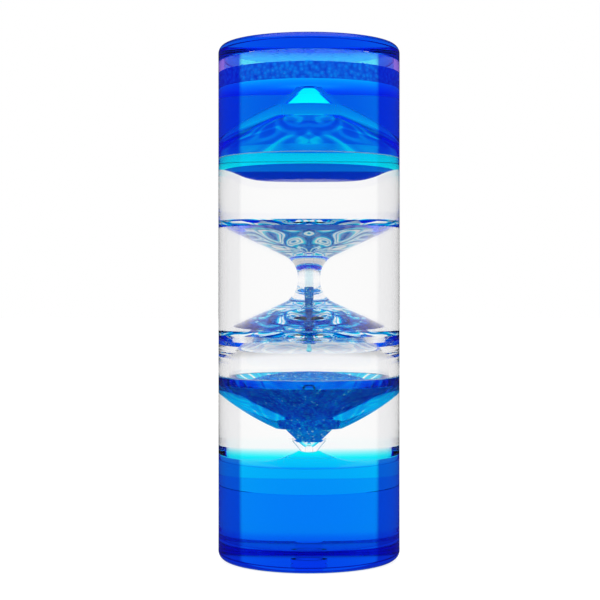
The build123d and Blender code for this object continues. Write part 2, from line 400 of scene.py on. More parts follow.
def dyed_glass(name, dye, indices, tint=(1, 1, 1), limb_shade=None):
    """Material with an even dye inside, whose faces have one of two indices."""
    material, tree, output = empty_material(name)
    contact = tree.nodes.new("ShaderNodeAttribute")
    contact.attribute_name = "contact"
    free = glass_shader(tree, indices[0])
    touching = glass_shader(tree, indices[1], tint)
    # Painted shade at the sides where the wall turns away
    if limb_shade:
        paint_limb_shade(tree, free, limb_shade)
    tree.links.new(blend(tree, contact.outputs["Fac"], free, touching), output.inputs["Surface"])
    absorb = tree.nodes.new("ShaderNodeVolumeAbsorption")
    strongest = max(dye)
    absorb.inputs["Color"].default_value = (*(1 - part / strongest for part in dye), 1)
    absorb.inputs["Density"].default_value = strongest
    tree.links.new(absorb.outputs["Volume"], output.inputs["Volume"])
    return material


# Painted refractions and reflections of the blue liquid, in bands that run round and inwards: on the bulbs'
# floors, in the upper dome and on the lower dome's outside
PAINTED_SWIRL_COLOURS = (
    (0.0, (0.0, 0.12, 0.5)),
    (0.12, (0.0, 0.25, 0.75)),
    (0.2, (0.0, 0.6, 0.92)),
    (0.3, (0.0, 0.9, 1.0)),
    (0.34, (1.0, 1.0, 1.0)),
    (0.48, (1.0, 1.0, 1.0)),
    (0.5, (0.0, 0.35, 0.7)),
    (0.56, (0.0, 0.75, 1.0)),
    (0.62, (0.9, 1.0, 1.0)),
    (0.76, (1.0, 1.0, 1.0)),
    (0.79, (0.0, 0.6, 0.85)),
    (0.86, (0.0, 0.3, 0.8)),
    (1.0, (0.0, 0.12, 0.5)),
)
DOME_PAINTED_SWIRL_COLOURS = (
    (0.0, (0.0, 0.4, 0.92)),
    (0.25, (0.0, 0.55, 0.97)),
    (0.35, (1.0, 1.0, 1.0)),
    (0.55, (1.0, 1.0, 1.0)),
    (0.7, (0.0, 0.65, 0.97)),
    (1.0, (0.0, 0.4, 0.92)),
)
SHELL_PAINTED_SWIRL_COLOURS = (
    (0.0, (0.0, 0.52, 0.9)),
    (0.2, (0.0, 0.65, 0.95)),
    (0.3, (0.0, 0.9, 1.0)),
    (0.36, (1.0, 1.0, 1.0)),
    (0.42, (1.0, 1.0, 1.0)),
    (0.48, (0.0, 0.65, 0.95)),
    (0.7, (0.0, 0.48, 0.87)),
    (0.85, (0.0, 0.8, 0.98)),
    (1.0, (0.0, 0.52, 0.9)),
)
SWIRL_BANDS = 4.0
SWIRL_TURNS = 0.8
SWIRL_RINGS = 0.06
SWIRL_SCALE = 1.6
SWIRL_TWIST = 0.8


def painted_swirls(tree, colours):
    """Painted light in bands of colour that follow smooth hills of noise, the same in both halves."""
    place = parts_of(tree, "ShaderNodeTexCoord", "Object")
    across = arithmetic(tree, "ABSOLUTE", place["X"])
    along = place["Y"]
    turn = arithmetic(tree, "ARCTAN2", across, along)
    square_x = arithmetic(tree, "MULTIPLY", across, across)
    square_y = arithmetic(tree, "MULTIPLY", along, along)
    squares = arithmetic(tree, "ADD", square_x, square_y)
    reach = arithmetic(tree, "MULTIPLY", arithmetic(tree, "SQRT", squares), SWIRL_RINGS / MM)
    spread = tree.nodes.new("ShaderNodeCombineXYZ")
    tree.links.new(arithmetic(tree, "MULTIPLY", turn, SWIRL_TURNS), spread.inputs["X"])
    tree.links.new(reach, spread.inputs["Y"])
    noise = tree.nodes.new("ShaderNodeTexNoise")
    noise.inputs["Scale"].default_value = SWIRL_SCALE
    noise.inputs["Detail"].default_value = 0
    noise.inputs["Distortion"].default_value = SWIRL_TWIST
    tree.links.new(spread.outputs[0], noise.inputs["Vector"])
    band = arithmetic(tree, "FRACT", arithmetic(tree, "MULTIPLY", noise.outputs["Fac"], SWIRL_BANDS))
    return colour_ramp(tree, band, colours)


def swirl_painted_glass(name, ior, colours):
    """Clear piece whose skin paints bands of refracted blue light on what passes through it."""
    material, tree, output = empty_material(name)
    shader = tree.nodes.new("ShaderNodeBsdfGlass")
    shader.inputs["Roughness"].default_value = 0
    shader.inputs["IOR"].default_value = ior
    tree.links.new(painted_swirls(tree, colours), shader.inputs["Color"])
    tree.links.new(shader.outputs[0], output.inputs["Surface"])
    return material


def reflection_painted_mirror(name, ior, colours):
    """Clear piece whose skin colours only what it mirrors: a painted reflection of the blue liquid."""
    material, tree, output = empty_material(name)
    clear = tree.nodes.new("ShaderNodeBsdfRefraction")
    clear.inputs["Color"].default_value = (1, 1, 1, 1)
    mirror = tree.nodes.new("ShaderNodeBsdfGlossy")
    fresnel = tree.nodes.new("ShaderNodeFresnel")
    for shader in (clear, mirror):
        shader.inputs["Roughness"].default_value = 0
    for shader in (clear, fresnel):
        shader.inputs["IOR"].default_value = ior
    tree.links.new(painted_swirls(tree, colours), mirror.inputs["Color"])
    tree.links.new(blend(tree, fresnel.outputs[0], clear, mirror), output.inputs["Surface"])
    return material


# What each dye takes from red, green and blue, per metre
TINT_DYE = (800, 54, 3)
LOWER_DYE = (900, 18.3, 0.3)
UPPER_DYE = (800, 48.6, 4.5)
DOME_DYE = (800, 12, 3)
THREAD_DYE = (180, 70, 40)
CUP_WALL_TINT = (0.8, 0.6, 0.98)
POOL_TINT = (0.1, 0.035, 0.5)
GAP_TINT = (0.15, 0.95, 1)

# Painted shade at the sides of the tube where they turn away: what they let through where it holds air and
# where it holds blue liquid
LIMB_START = 0.32
LIMB_END = 0.38
UPRIGHT_TILTS = (0.7, 0.9)
AIR_LIMB_SHADE = (0.8, 0.8, 0.82)
UPPER_LIMB_SHADE = (0.1, 0.03, 0.7)
LOWER_LIMB_SHADE = (0.1, 0.06, 0.5)

in_air = plain_glass("acrylic_in_air", ACRYLIC_IOR)
round_gap = plain_glass("acrylic_round_air_gap", ACRYLIC_IOR, tint=GAP_TINT)
# The tube's outer skins and the tinted cup carry painted shade at their sides
tube_in_air_edge_shade = plain_glass("tube_in_air_edge_shade", ACRYLIC_IOR, AIR_LIMB_SHADE)
tube_round_blue_edge_shade = plain_glass("tube_round_blue_liquid", ACRYLIC_IOR, UPPER_LIMB_SHADE)
foot_round_blue_edge_shade = plain_glass("tube_foot_round_blue_liquid", ACRYLIC_IOR, LOWER_LIMB_SHADE)
in_clear = plain_glass("acrylic_in_clear_liquid", ACRYLIC_IOR / CLEAR_IOR)
in_bulb = plain_glass("acrylic_in_bulb_liquid", ACRYLIC_IOR / BULB_IOR)
# Painted refractions and reflections of the blue liquid, in bands on these skins
bulb_floor = swirl_painted_glass("bulb_floor_in_liquid", ACRYLIC_IOR / BULB_IOR, PAINTED_SWIRL_COLOURS)
dome_in_blue = swirl_painted_glass("dome_in_blue_liquid", ACRYLIC_IOR / BLUE_IOR, DOME_PAINTED_SWIRL_COLOURS)
dome_in_clear = swirl_painted_glass("dome_in_clear_liquid", ACRYLIC_IOR / CLEAR_IOR, SHELL_PAINTED_SWIRL_COLOURS)
bulb_ceiling = reflection_painted_mirror("bulb_ceiling_in_air", ACRYLIC_IOR, PAINTED_SWIRL_COLOURS)
in_blue = plain_glass("acrylic_in_blue_liquid", ACRYLIC_IOR / BLUE_IOR)
in_lower_blue = plain_glass("acrylic_in_lower_blue_liquid", ACRYLIC_IOR / LOWER_BLUE_IOR)
bonded = plain_glass("acrylic_bonded", MATCHED_IOR)
clear_still = plain_glass("clear_liquid", MATCHED_IOR)
tinted = dyed_glass(
    "tinted_acrylic", TINT_DYE, (ACRYLIC_IOR, ACRYLIC_IOR / LOWER_BLUE_IOR), CUP_WALL_TINT, LOWER_LIMB_SHADE
)
tinted_lid = dyed_glass("tinted_lid", TINT_DYE, (ACRYLIC_IOR, ACRYLIC_IOR))
tinted_joint = dyed_glass("tinted_plug", TINT_DYE, (ACRYLIC_IOR, MATCHED_IOR))
lower_blue = dyed_glass("bright_blue_liquid", LOWER_DYE, (MATCHED_IOR, SOFT_SURFACE_IOR))
upper_blue = dyed_glass("deep_blue_liquid", UPPER_DYE, (MATCHED_IOR, BLUE_IOR / BULB_IOR))
dome_blue = dyed_glass("deep_blue_in_dome", DOME_DYE, (MATCHED_IOR, BLUE_IOR / BULB_IOR), POOL_TINT)
thread_blue = dyed_glass("thread_liquid", THREAD_DYE, (MATCHED_IOR, MATCHED_IOR))
drop_blue = dyed_glass("blue_drop", UPPER_DYE, (CLEAR_IOR, CLEAR_IOR))
drop_clear = plain_glass("clear_drop", CLEAR_IOR)


def opaque(name, roughness, gloss):
    """Solid skin, with its base colour left to be set."""
    material = bpy.data.materials.new(name)
    material.use_nodes = True
    tree = material.node_tree
    shader = tree.nodes["Principled BSDF"]
    shader.inputs["Roughness"].default_value = roughness
    shader.inputs["Specular IOR Level"].default_value = gloss
    return material, tree, shader


def texture(tree, kind, scale):
    """Texture in the object's own coordinates, with its scale given per millimetre."""
    place = tree.nodes.new("ShaderNodeTexCoord")
    node = tree.nodes.new(kind)
    node.inputs["Scale"].default_value = scale / MM
    tree.links.new(place.outputs["Object"], node.inputs["Vector"])
    return node


# Glitter in cells of one grain each, a little brighter over the line up to which it is wet
GRAIN_SCALE = 2.6
GRAIN_COLOURS = (
    (0.0, (0.0, 0.16, 0.75)),
    (0.5, (0.0, 0.3, 1.0)),
    (0.8, (0.0, 0.45, 1.0)),
    (0.9, (0.05, 0.8, 1.0)),
    (1.0, (0.6, 1.0, 1.0)),
)
WET_LINE = 46.6
WET_FADE = 0.4
WET_SHARE = 0.95
PATCH_SCALE = 0.25
PATCH_COLOURS = ((0.3, (0.7, 0.7, 0.75)), (0.7, (1, 1, 1)))


def glitter_material():
    """Cells in the grains' colours, under larger patches and a line of wetness."""
    material, tree, shader = opaque("glitter", roughness=0.6, gloss=0)
    cells = texture(tree, "ShaderNodeTexVoronoi", GRAIN_SCALE)
    chance = tree.nodes.new("ShaderNodeSeparateColor")
    tree.links.new(cells.outputs["Color"], chance.inputs[0])
    colour = colour_ramp(tree, chance.outputs[0], GRAIN_COLOURS)
    height = parts_of(tree, "ShaderNodeTexCoord", "Object")["Z"]
    wet = ramp(tree, height, (WET_LINE - WET_FADE) * MM, (WET_LINE + WET_FADE) * MM, WET_SHARE, 1)
    patches = texture(tree, "ShaderNodeTexNoise", PATCH_SCALE)
    shade = colour_ramp(tree, patches.outputs["Fac"], PATCH_COLOURS)
    for factor in (shade, wet):
        mix = tree.nodes.new("ShaderNodeMixRGB")
        mix.blend_type = "MULTIPLY"
        mix.inputs[0].default_value = 1
        tree.links.new(colour, mix.inputs[1])
        tree.links.new(factor, mix.inputs[2])
        colour = mix.outputs[0]
    tree.links.new(colour, shader.inputs["Base Color"])
    return material


# Froth in blue cells that are lighter in their middles
FROTH_SCALE = 0.9
FROTH_COLOURS = (
    (0.0, (0.0, 0.36, 1.0)),
    (0.35, (0.0, 0.2, 0.95)),
    (0.7, (0.0, 0.1, 0.85)),
    (1.0, (0.0, 0.05, 0.75)),
)
BUBBLE_COLOURS = ((0.0, (0.0, 0.08, 0.8)), (0.6, (0.0, 0.22, 1.0)), (1.0, (0.05, 0.4, 1.0)))
FROTH_GLINT = (0.1, 0.7, 1, 1)
# Painted glow on the froth's underside, for the light that comes down through the froth
FROTH_UNDERSIDE_GLOW_COLOUR = (0, 0.42, 1, 1)
FROTH_UNDERSIDE_GLOW_LEVEL = 0.75

# Painted glow for the light that shows in the upper nozzle
NOZZLE_GLOW_COLOUR = (0.005, 1, 0.45, 1)
NOZZLE_GLOW_LEVEL = 2.6
NOZZLE_GLOW_SHARE = 0.7
GLOW_INSET = 3 * SKIN

# Bond lines at the seams of the hourglass
BOND_COLOUR = (0.75, 0.85, 0.95, 1)
BOND_CLEAR_SHARE = 0.6
BOND_IOR = 1.05


def glowing_underside_material():
    """Froth from below, with a painted glow for the light that comes down through it."""
    material, _, shader = opaque("froth_underside_glow", roughness=0.5, gloss=0)
    shader.inputs["Base Color"].default_value = FROTH_UNDERSIDE_GLOW_COLOUR
    shader.inputs["Emission Color"].default_value = FROTH_UNDERSIDE_GLOW_COLOUR
    shader.inputs["Emission Strength"].default_value = FROTH_UNDERSIDE_GLOW_LEVEL
    return material


def painted_glow_material():
    """Painted glow of pale cyan light in the nozzle's liquid."""
    material, tree, output = empty_material("nozzle_painted_glow")
    clear = tree.nodes.new("ShaderNodeBsdfTransparent")
    light = tree.nodes.new("ShaderNodeEmission")
    light.inputs["Color"].default_value = NOZZLE_GLOW_COLOUR
    light.inputs["Strength"].default_value = NOZZLE_GLOW_LEVEL
    tree.links.new(blend(tree, NOZZLE_GLOW_SHARE, clear, light), output.inputs["Surface"])
    return material


def froth_material():
    """Cells of froth with a blue gloss."""
    material, tree, shader = opaque("froth", roughness=0.3, gloss=0.3)
    shader.inputs["Specular Tint"].default_value = FROTH_GLINT
    cells = texture(tree, "ShaderNodeTexVoronoi", FROTH_SCALE)
    tree.links.new(colour_ramp(tree, cells.outputs["Distance"], FROTH_COLOURS), shader.inputs["Base Color"])
    return material


def colour_islands(tree, shader, stops):
    """Gives each loose part of a mesh a colour of its own."""
    piece = tree.nodes.new("ShaderNodeNewGeometry")
    colour = colour_ramp(tree, piece.outputs["Random Per Island"], stops)
    tree.links.new(colour, shader.inputs["Base Color"])


def bubble_material():
    """Blue bubbles, each in a shade of its own."""
    material, tree, shader = opaque("froth_bubbles", roughness=0.08, gloss=1)
    shader.inputs["Specular Tint"].default_value = FROTH_GLINT
    colour_islands(tree, shader, BUBBLE_COLOURS)
    return material


def foil_material():
    """Bright foil of the loose grains."""
    material, tree, shader = opaque("grain_foil", roughness=0.25, gloss=1)
    colour_islands(tree, shader, GRAIN_COLOURS)
    return material


def seam_material():
    """Milky bond line that still lets light through."""
    material, _, shader = opaque("milky_bond", roughness=0.4, gloss=0.5)
    shader.inputs["Base Color"].default_value = BOND_COLOUR
    shader.inputs["Transmission Weight"].default_value = BOND_CLEAR_SHARE
    shader.inputs["IOR"].default_value = BOND_IOR
    return material


glitter = glitter_material()
froth_blue = froth_material()
froth_underside_glow = glowing_underside_material()
nozzle_painted_glow = painted_glow_material()
bubble_blue = bubble_material()
grain_foil = foil_material()
milky = seam_material()


# Outer body

def outer_tube():
    """Tube wall; its inside touches liquid, skirts, air, skirts, liquid and air in turn."""
    cone_foot = NECK - cone_end_height()
    cone_head = NECK + cone_end_height()
    return lathe(
        "tube", "clear_acrylic", ["outer_tube"],
        (foot_round_blue_edge_shade, [(OUTER, TUBE_FOOT)]),
        (tube_in_air_edge_shade, [(OUTER, LOWER_SURFACE + MENISCUS_RISE)]),
        (tube_round_blue_edge_shade, [(OUTER, UPPER.seam)]),
        (bonded, [(OUTER, TUBE_HEAD)]),
        (round_gap, [(BORE, TUBE_HEAD)]),
        (in_blue, [(BORE, FROTH_TOP)]),
        (bonded, [(BORE, UPPER.seam)]),
        (in_air, [(BORE, cone_head)]),
        (bonded, [(BORE, cone_foot)]),
        (in_clear, [(BORE, LOWER.seam)]),
        (in_lower_blue, [(BORE, LOWER_SURFACE + MENISCUS_RISE)]),
        (bonded, [(BORE, TUBE_FOOT)]),
    )


def plug_outline():
    """Chamfered head and stem of the plug, from its underside to the cup's floor."""
    return [
        (PLUG_HEAD - PLUG_CHAMFER, 0),
        (PLUG_HEAD, PLUG_CHAMFER),
        (PLUG_HEAD, PLUG_HEAD_DEPTH),
        (PLUG_RADIUS, PLUG_HEAD_DEPTH),
        (PLUG_RADIUS, CUP_FLOOR),
    ]


def cup():
    """Deep tinted cup with the fill plug's hole."""
    outside = rounded((0, 0), (OUTER, 0), (OUTER, CUP_RIM), RIM_ROUNDING)
    inside = rounded((BORE, CUP_RIM), (BORE, CUP_FLOOR), (0, CUP_FLOOR), CUP_CORNER)
    hole = plug_outline()
    return lathe(
        "cup", "tinted_acrylic", ["bottom_cap"],
        (tinted, [hole[0], *outside]),
        ((tinted, 1), [(OUTER, CUP_RIM)]),
        ((tinted, 1), [(BORE, CUP_RIM), *inside]),
        ((tinted, 1), hole[:0:-1]),
    )


def plug():
    """Plug that is bonded into its hole."""
    outline = [(r - SKIN if h > 0 else r, h) for r, h in plug_outline()]
    return lathe(
        "plug", "tinted_acrylic", ["fill_plug"],
        (tinted_joint, [(0, 0)]),
        ((tinted_joint, 1), outline),
        ((tinted_joint, 1), [(0, CUP_FLOOR)]),
    )


def lid():
    """Flat tinted lid with a rounded rim."""
    rim = rounded((OUTER, CEILING), (OUTER, TOP), (0, TOP), RIM_ROUNDING)
    return lathe(
        "lid", "tinted_acrylic", ["top_cap"],
        (tinted_lid, [(0, CEILING), (BORE, CEILING), (OUTER, CEILING), *rim, (0, TOP)]),
    )


def bond_ring(name, node, skin, inner, outer, low, high):
    """Bond line between two mouldings."""
    return lathe(
        name, "bond_line", [node],
        (skin, [(inner, low), (outer, low), (outer, high), (inner, high)]),
    )


def seam_bond(side):
    """Milky bond line between a funnel's skirt and its dome."""
    low, high = sorted((NECK + side.sign * side.skirt, side.seam))
    slack = SKIN / 2
    return bond_ring(
        f"{side.name}_bond", f"{side.name}_seam_ring", milky,
        BULB + SKIN, BORE - SKIN, low + slack, high - slack,
    )


# Hourglass

def cone_start():
    """Where the neck's fillet runs into the cone."""
    sweep = math.pi / 2 - CONE_ANGLE
    return (
        NECK_RADIUS + NECK_FILLET * (1 - math.cos(sweep)),
        NECK_STRAIGHT + NECK_FILLET * math.sin(sweep),
    )


def cone_end_height():
    """Height over the neck plane at which the cone meets the tube."""
    radius, height = cone_start()
    return height + (BORE - radius) * math.tan(CONE_ANGLE)


def neck_curve():
    """Fillet from the neck's straight stretch to the cone."""
    centre = NECK_RADIUS + NECK_FILLET
    return [
        (centre - NECK_FILLET * math.cos(a), NECK_STRAIGHT + NECK_FILLET * math.sin(a))
        for a in shares_of(math.pi / 2 - CONE_ANGLE)
    ]


def bulb_curve(inset=0.0):
    """Shoulder and dished floor of a bulb, from the wall in to the mouth."""
    radius = BULB_SHOULDER - inset
    rise = BULB_SHOULDER_RISE - inset
    centre = (BULB - BULB_SHOULDER, BULB_FLOOR + BULB_SHOULDER_RISE)
    angles = shares_of(math.asin(rise / radius))
    shoulder = [(centre[0] + radius * math.cos(a), centre[1] - radius * math.sin(a)) for a in angles]
    dish = climbing(MOUTH_RADIUS, shoulder[-1][0], MOUTH + inset, FLOOR_DISH)
    return [*shoulder, *dish[-2::-1]]


def funnel(side, inside_skin, floor_skin):
    """Half of the hourglass: neck, thick cone, bulb floor and skirt."""
    curve = bulb_curve()
    shoulder, floor = curve[:ARC_STEPS], curve[ARC_STEPS:]
    wall = BORE - HAIR

    def at(*points):
        return side.place(points, NECK)

    return lathe(
        f"{side.name}_cone_and_skirt", "clear_acrylic", [f"{side.name}_funnel"],
        (bonded, at((NECK_BORE, 0))),
        (in_air, at((NECK_RADIUS, 0), *neck_curve())),
        (bonded, at((wall, cone_end_height()), (wall, side.skirt))),
        (inside_skin, at((BULB, side.skirt), *shoulder)),
        (floor_skin, at(*floor)),
        (in_clear, at((NECK_BORE, MOUTH - MOUTH_DEPTH))),
    )


def dome_outside():
    """Outside of a dome, from the tube's wall in to the land."""
    return arc((BORE, 0), DOME_SHOULDER, (DOME_LAND, UPPER.dome_height), 2 * ARC_STEPS)


def dome_inside():
    """Inside of a dome, from the bulb's wall in to the nozzle's spigot."""
    return arc((BULB, 0), DOME_HOLLOW, (SPIGOT_RADIUS, UPPER.dome_height - DOME_WALL), 2 * ARC_STEPS)


def dome(side, outside, inside, rim):
    """Bowl-shaped wall with a flat land and the hole for the nozzle's spigot."""
    inner = side.place(dome_inside(), side.seam)
    bare = [point for point in inner if point[0] > HEAP_RIM]
    covered = [point for point in inner if point[0] <= HEAP_RIM]
    return lathe(
        f"{side.name}_bowl", "clear_acrylic", [f"{side.name}_dome"],
        (outside, side.place(dome_outside(), side.seam)),
        (bonded, side.place([(SPIGOT_RADIUS, 0)], side.land)),
        (inside, covered[::-1]),
        (rim, bare[:0:-1]),
        (bonded, [bare[0]]),
    )


def nozzle_inside(inset=0.0):
    """Passage through a nozzle, from the spigot's end to the tip."""
    throat_end = NOZZLE_THROAT_HEIGHT + NOZZLE_THROAT - ORIFICE
    return [
        (NOZZLE_INNER - inset, -DOME_WALL),
        (NOZZLE_INNER - inset, 0),
        (NOZZLE_THROAT - inset, NOZZLE_THROAT_HEIGHT),
        (ORIFICE - inset, throat_end),
    ]


def nozzle_outside(outset=0.0):
    """Outside of a nozzle, from its base over the ledge to the tip."""
    height = UPPER.nozzle_height
    ledge = (NOZZLE_LEDGE_INNER, NOZZLE_LEDGE)
    tip = rounded(ledge, (NOZZLE_TIP, height), (0, height), NOZZLE_TIP_ROUNDING, ARC_STEPS // 2)
    outline = [(NOZZLE_BASE, 0), (NOZZLE_LEDGE_OUTER, NOZZLE_LEDGE), ledge, *tip]
    return [(r + outset, h + outset) for r, h in outline]


def nozzle(side, outside, inside):
    """Hollow cone on a spigot."""
    spigot = SPIGOT_RADIUS - HAIR
    return lathe(
        f"{side.name}_cone_tip", "clear_acrylic", [f"{side.name}_nozzle"],
        (bonded, side.place([(spigot, -DOME_WALL), (spigot, HAIR), (NOZZLE_BASE, HAIR)], side.land)),
        (outside, side.place([*nozzle_outside()[1:], (ORIFICE, side.nozzle_height)], side.land)),
        (inside, side.place(nozzle_inside()[::-1], side.land)),
    )


# Liquids

def pool_line(edge):
    """Lower surface of the blue under the upper dome: a flat pan with its edge drawn up."""
    bend = climbing(POOL_FLAT, POOL_BEND, POOL_BOTTOM, POOL_BEND_RISE)
    slope = math.atan2(bend[-1][1] - bend[-2][1], bend[-1][0] - bend[-2][0])
    (r1, z1), (r2, z2) = bend[-1], (edge, UPPER.seam - POOL_EDGE_DROP)
    chord = math.hypot(r2 - r1, z2 - z1)
    lean = slope - math.atan2(z2 - z1, r2 - r1)
    bulge = chord / 2 * math.tan(lean / 2)
    across = ((z1 - z2) / chord, (r2 - r1) / chord)
    middle = ((r1 + r2) / 2 + across[0] * bulge, (z1 + z2) / 2 + across[1] * bulge)
    return [(0, POOL_BOTTOM), *bend[:-1], *arc((r1, z1), middle, (r2, z2))]


def upper_bulb_liquid():
    """Clear liquid from the thread in the bore up to the blue."""
    side = UPPER
    bore = NECK_BORE - SKIN
    surface = [(r, z - SKIN) for r, z in pool_line(BULB - SKIN)]
    return lathe(
        "clear_liquid_in_bulb", "clear_liquid", ["upper_bulb_liquid"],
        (clear_still, [(0, THREAD_TOP), (bore, THREAD_TOP)]),
        (clear_still, side.place([(bore, MOUTH - MOUTH_DEPTH)], NECK)),
        (clear_still, side.place(bulb_curve(SKIN)[::-1], NECK)),
        (clear_still, surface[::-1]),
    )


def upper_bulb_blue():
    """Deep blue liquid under the upper dome and in its nozzle."""
    side = UPPER
    inner = [(r - SKIN, h - SKIN) for r, h in dome_inside()]
    pool = pool_line(BULB - SKIN)
    return lathe(
        "deep_blue_in_dome", "deep_blue_liquid", ["upper_dome_liquid"],
        ((dome_blue, 1), [point for point in pool if point[0] < POOL_TINTED]),
        (dome_blue, [point for point in pool if point[0] >= POOL_TINTED]),
        (dome_blue, side.place(inner, side.seam)),
        (dome_blue, side.place(nozzle_inside(SKIN)[1:], side.land)),
        (dome_blue, [(ORIFICE - SKIN, side.tip), (0, side.tip)]),
    )


def painted_glow_in_nozzle():
    """Cone of painted glow just inside the upper nozzle's wall."""
    side = UPPER
    (foot, low), (head, high) = side.place(nozzle_inside(GLOW_INSET)[1:3], side.land)
    return lathe(
        "painted_glow_in_nozzle", "deep_blue_liquid", [],
        (nozzle_painted_glow, [(0, low), (foot, low), (head, high), (0, high)]),
    )


def upper_blue_liquid():
    """Deep blue liquid round the upper dome, under its froth."""
    side = UPPER
    flank = side.place(nozzle_outside(SKIN), side.land)
    wetted = [point for point in flank if point[1] < UPPER_SURFACE - SKIN]
    share = (UPPER_SURFACE - side.land - NOZZLE_LEDGE) / (side.nozzle_height - NOZZLE_LEDGE)
    edge = NOZZLE_LEDGE_INNER + share * (NOZZLE_TIP - NOZZLE_LEDGE_INNER) + SKIN
    shell = [(r + SKIN if r < BORE - SKIN else BORE - SKIN, h + SKIN) for r, h in dome_outside()]
    return lathe(
        "deep_blue_liquid", "deep_blue_liquid", ["upper_blue_liquid"],
        (upper_blue, [(edge, UPPER_SURFACE), (BORE - SKIN, UPPER_SURFACE)]),
        (upper_blue, side.place(shell, side.seam)),
        (upper_blue, wetted),
    )


def lower_surface_line(edge):
    """Surface between the lower liquids, from the nozzle's tip out to the wall."""
    hump = climbing(HUMP_RADIUS, HUMP_EDGE + SKIN, LOWER_SURFACE, HUMP_RISE - SKIN)
    rim = climbing(BORE - MENISCUS_WIDTH, edge, LOWER_SURFACE, MENISCUS_RISE)
    return [*hump[::-1], *rim]


def lower_blue_liquid():
    """Bright blue liquid in the cup and the foot of the tube."""
    edge = BORE - SKIN
    floor = CUP_FLOOR + SKIN
    corner = rounded((edge, LOWER_SURFACE), (edge, floor), (0, floor), CUP_CORNER)
    flank = LOWER.place(nozzle_outside(SKIN), LOWER.land)
    under_tip = [(0, LOWER.tip - SKIN)]
    under_tip += [point for point in flank[::-1] if point[1] < LOWER_SURFACE + HUMP_RISE - 2 * SKIN]
    return lathe(
        "bright_blue_liquid", "bright_blue_liquid", ["lower_blue_liquid"],
        (lower_blue, under_tip),
        ((lower_blue, 1), lower_surface_line(edge)),
        (lower_blue, [*corner, (0, floor)]),
    )


def lower_clear_liquid():
    """Clear liquid round the lower dome, on top of the blue."""
    side = LOWER
    edge = BORE - SKIN
    shell = [(r + SKIN if r < edge else edge, h + SKIN) for r, h in dome_outside()]
    flank = side.place(nozzle_outside(SKIN), side.land)
    surface = [(r, z + SKIN) for r, z in lower_surface_line(edge)]
    return lathe(
        "clear_liquid_round_dome", "clear_liquid", ["lower_clear_liquid"],
        (clear_still, [*surface, *side.place(shell, side.seam)]),
        (clear_still, [point for point in flank if point[1] > LOWER_SURFACE + HUMP_RISE + SKIN]),
    )


# Froth

BUBBLES = 1500
BUBBLE_SEED = 3
BUBBLE_RADII = (0.12, 0.55)
WALL_BUBBLE_SHARE = 0.7

# Centre and radius of each bubble that isn't drawn at random
BIG_BUBBLES = (
    (0.0, 0.0, 132.2, 2.1),
    (0.0, -18.5, 133.2, 1.6),
    (-2.0, -20.5, 132.8, 1.0),
    (2.6, -20.0, 133.0, 1.1),
)


def froth():
    """Layer of froth on the deep blue liquid round the nozzle's tip."""
    side = UPPER
    edge = BORE - SKIN
    foot = UPPER_SURFACE + SKIN
    flank = [point for point in side.place(nozzle_outside(SKIN), side.land) if point[1] > foot]
    top = crown(edge, FROTH_TOP - SKIN, -FROTH_CROWN)
    return lathe(
        "froth_layer", "froth", ["upper_froth"],
        (froth_underside_glow, [(flank[0][0] + SKIN, foot)]),
        (froth_blue, [(edge, foot), *top[::-1], *flank[::-1]]),
    )


def unit_ball():
    """Corners and faces of a small round ball."""
    build = bmesh.new()
    bmesh.ops.create_icosphere(build, subdivisions=2, radius=1)
    corners = [vert.co.copy() for vert in build.verts]
    faces = [[vert.index for vert in face.verts] for face in build.faces]
    build.free()
    return corners, faces


def bubbles():
    """Bubbles against the tube's wall and on top of the froth."""
    draw = random.Random(BUBBLE_SEED)
    balls = list(BIG_BUBBLES)
    for _ in range(BUBBLES):
        radius = draw.triangular(*BUBBLE_RADII, BUBBLE_RADII[0])
        turn = draw.uniform(0, TURN)
        if draw.random() < WALL_BUBBLE_SHARE:
            reach = BORE - radius - 2 * SKIN
            level = draw.uniform(UPPER_SURFACE + radius, FROTH_TOP)
        else:
            reach = (BORE - radius) * math.sqrt(draw.random())
            level = FROTH_TOP - FROTH_CROWN
        balls.append((reach * math.cos(turn), reach * math.sin(turn), level, radius))
    corners, faces = unit_ball()
    verts = [(corner * r + Vector((x, y, z))) * MM for x, y, z, r in balls for corner in corners]
    shifts = range(0, len(verts), len(corners))
    mesh = bpy.data.meshes.new("froth_bubbles")
    mesh.from_pydata(verts, [], [[index + shift for index in face] for shift in shifts for face in faces])
    mesh.materials.append(bubble_blue)
    smooth(mesh)
    return add_piece("froth_bubbles", mesh, "froth")


# Glitter

GRAINS = 2600
GRAIN_SEED = 5
GRAIN_RADIUS = 0.17
GRAIN_SIDES = 6
GRAIN_RISE = GRAIN_RADIUS / 3
GRAIN_LEAN = 0.6
GRAIN_MARGIN = 0.5
HEAP_TAIL_FLARE = 1.0


def heap():
    """Glitter lying in the lower dome and nozzle under a low rounded top."""
    side = LOWER
    rim = HEAP_PEAK - HEAP_RISE
    inner = [(r - SKIN, h - SKIN) for r, h in dome_inside() if r < HEAP_RIM]
    return lathe(
        "heap", "glitter", ["glitter_heap"],
        (glitter, crown(HEAP_RIM - SKIN, rim, HEAP_RISE)),
        (glitter, side.place(inner, side.seam)),
        (glitter, side.place(nozzle_inside(SKIN)[1:2], side.land)),
        (glitter, [(NOZZLE_THROAT + HEAP_TAIL_FLARE, HEAP_TAIL), (0, HEAP_TAIL)]),
    )


